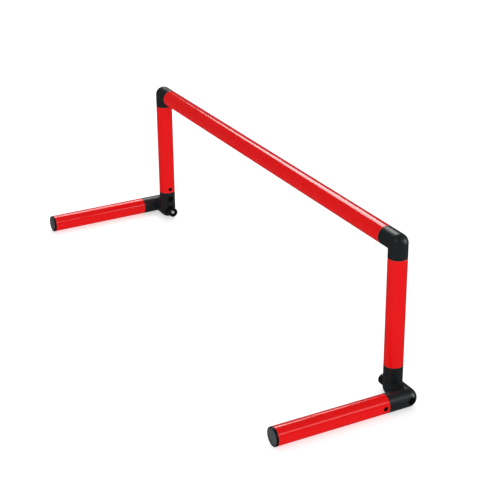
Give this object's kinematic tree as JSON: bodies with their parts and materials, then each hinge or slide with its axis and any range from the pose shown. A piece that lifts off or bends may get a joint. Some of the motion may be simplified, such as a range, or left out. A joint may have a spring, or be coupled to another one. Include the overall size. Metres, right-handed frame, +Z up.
{
  "type": "speed hurdle",
  "caption": "Low folding training hurdle: a round-tube arch on round-tube feet that fold up beside the uprights at sprung push-button pivots.",
  "frame": {"origin": "on the floor, in the middle of the footprint", "axes": "+X along the crossbar, +Y from the feet's caps back to the uprights, +Z up"},
  "size_m": [1.0104, 0.2718, 0.2971],
  "materials": {
    "red_tube": "extruded PVC, glossy red",
    "black_connector": "moulded nylon, satin black",
    "grey_cap": "moulded polyethylene, dark grey",
    "black_knob": "moulded nylon, black",
    "bright_steel": "zinc plated, bright",
    "spring_steel": "drawn wire",
    "black_screw": "black phosphated"
  },
  "bodies": {
    "frame": {"crossbar_tube": "red_tube", "left_upright_tube": "red_tube", "right_upright_tube": "red_tube", "left_corner_elbow": "black_connector", "right_corner_elbow": "black_connector", "left_upright_knuckle": "black_connector", "right_upright_knuckle": "black_connector", "left_release_spring": "spring_steel", "right_release_spring": "spring_steel", "left_bar_screw": "black_screw", "right_bar_screw": "black_screw", "left_upright_top_screw": "black_screw", "right_upright_top_screw": "black_screw", "left_upright_bottom_screw": "black_screw", "right_upright_bottom_screw": "black_screw"},
    "left_release": {"left_pivot_bolt": "bright_steel", "left_release_knob": "black_knob", "left_spring_washer": "bright_steel", "left_spring_clip": "bright_steel"},
    "left_foot": {"left_foot_tube": "red_tube", "left_foot_knuckle": "black_connector", "left_foot_cap": "grey_cap", "left_foot_screw": "black_screw"},
    "right_release": {"right_pivot_bolt": "bright_steel", "right_release_knob": "black_knob", "right_spring_washer": "bright_steel", "right_spring_clip": "bright_steel"},
    "right_foot": {"right_foot_tube": "red_tube", "right_foot_knuckle": "black_connector", "right_foot_cap": "grey_cap", "right_foot_screw": "black_screw"}
  },
  "joints": [
    {"name": "left_release_push", "type": "slide", "parent": "frame", "child": "left_release", "axis": [-1, 0, 0], "range_m": [0, 0.005], "stiffness_N_per_m": 2000, "springref_m": -0.005, "deforming": ["left_release_spring"]},
    {"name": "left_foot_fold", "type": "hinge", "parent": "left_release", "child": "left_foot", "pos_m": [-0.4465, 0.11925, 0.0167], "axis": [-1, 0, 0], "range_deg": [0, 90]},
    {"name": "right_release_push", "type": "slide", "parent": "frame", "child": "right_release", "axis": [1, 0, 0], "range_m": [0, 0.005], "stiffness_N_per_m": 2000, "springref_m": -0.005, "deforming": ["right_release_spring"]},
    {"name": "right_foot_fold", "type": "hinge", "parent": "right_release", "child": "right_foot", "pos_m": [0.4465, 0.11925, 0.0167], "axis": [-1, 0, 0], "range_deg": [0, 90]}
  ]
}
